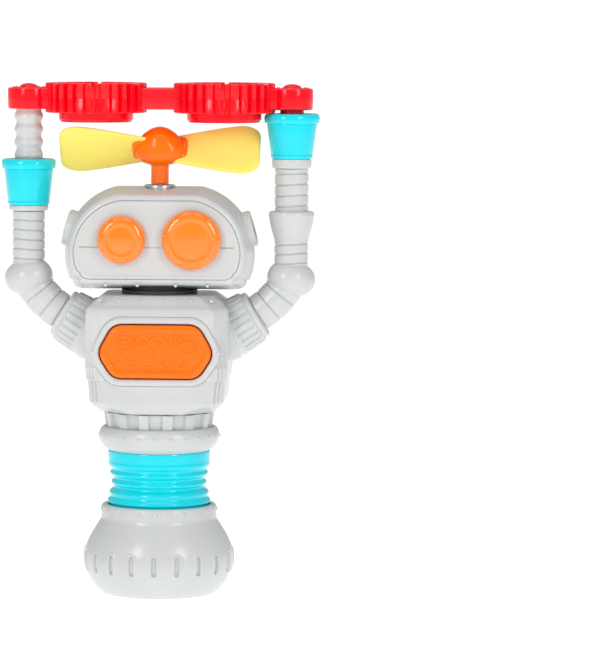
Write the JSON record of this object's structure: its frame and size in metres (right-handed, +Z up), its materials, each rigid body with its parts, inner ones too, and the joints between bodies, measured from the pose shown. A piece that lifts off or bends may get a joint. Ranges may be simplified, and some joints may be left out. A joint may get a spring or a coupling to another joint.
{
  "type": "bubble machine",
  "caption": "Hand-held robot-shaped bubble machine: base bulb, grip, chest button, fan on the head and a lift-off dipping wand with gear rings.",
  "frame": {"origin": "centre of the base's flat underside", "axes": "+Z up through the grip, the fan shaft and the head; the face looks along -Y; +X is to the right of a viewer who faces it"},
  "size_m": [0.1512, 0.0718, 0.2431],
  "materials": {
    "shell_grey": "satin light grey moulded ABS",
    "grip_cyan": "glossy cyan moulded plastic",
    "wand_red": "glossy red moulded plastic",
    "button_orange": "glossy orange moulded plastic",
    "eye_orange": "glossy orange moulded plastic",
    "blade_yellow": "matte soft foam sheet, pale yellow",
    "inner_dark": "black inner moulding",
    "steel": "plated steel",
    "screw_steel": "plated steel screws",
    "cell_wrap": "plain printed wrap on the cells",
    "brass_contact": "plated brass contact",
    "board_green": "green board",
    "wire_red": "thin insulated leads"
  },
  "bodies": {
    "robot": {"base_plate": "shell_grey", "base_screws": "screw_steel", "base_shell": "shell_grey", "battery_cells": "cell_wrap", "battery_tray": "inner_dark", "button_bezel": "shell_grey", "button_springs": "steel", "circuit_board": "board_green", "collar_ring": "shell_grey", "contact_plates": "brass_contact", "contact_springs": "steel", "face_plate": "shell_grey", "grip_core": "inner_dark", "grip_sleeve": "grip_cyan", "head_front_shell": "shell_grey", "head_rear_shell": "shell_grey", "head_screws": "screw_steel", "left_cup": "grip_cyan", "left_cup_collar": "shell_grey", "left_ear_cap": "shell_grey", "left_ear_ring": "shell_grey", "left_elbow": "shell_grey", "left_eye": "eye_orange", "left_forearm": "shell_grey", "left_shoulder": "shell_grey", "left_upper_arm": "shell_grey", "motor_can": "steel", "motor_end_cap": "inner_dark", "motor_mount": "inner_dark", "motor_screws": "screw_steel", "neck_collar": "inner_dark", "push_switch": "inner_dark", "right_cuff": "shell_grey", "right_cup": "grip_cyan", "right_cup_collar": "shell_grey", "right_ear_cap": "shell_grey", "right_ear_ring": "shell_grey", "right_elbow": "shell_grey", "right_eye": "eye_orange", "right_forearm": "shell_grey", "right_shoulder": "shell_grey", "right_upper_arm": "shell_grey", "shaft_eyelet": "steel", "torso_front_shell": "shell_grey", "torso_rear_shell": "shell_grey", "torso_screws": "screw_steel", "waist_column": "shell_grey", "wire_leads": "wire_red"},
    "fan": {"motor_shaft": "steel", "fan_hub": "button_orange", "left_fan_blade": "blade_yellow", "right_fan_blade": "blade_yellow"},
    "wand": {"wand_frame": "wand_red", "wand_end_caps": "wand_red", "wand_grip": "shell_grey", "wand_peg": "inner_dark"},
    "button": {"chest_button": "button_orange"},
    "door": {"battery_door": "shell_grey", "door_screw": "screw_steel"}
  },
  "joints": [
    {"name": "fan_spin", "type": "hinge", "parent": "robot", "child": "fan", "pos_m": [0, 0, 0.204], "axis": [0, 0, 1], "continuous": true},
    {"name": "wand_lift", "type": "slide", "parent": "robot", "child": "wand", "axis": [0, 0, 1], "range_m": [0, 0.045]},
    {"name": "button_press", "type": "slide", "parent": "robot", "child": "button", "axis": [0, 1, 0], "range_m": [0, 0.003], "stiffness_N_per_m": 400, "springref_m": -0.004, "deforming": ["button_springs"]},
    {"name": "door_remove", "type": "slide", "parent": "robot", "child": "door", "axis": [0, 1, 0], "range_m": [0, 0.03]}
  ]
}
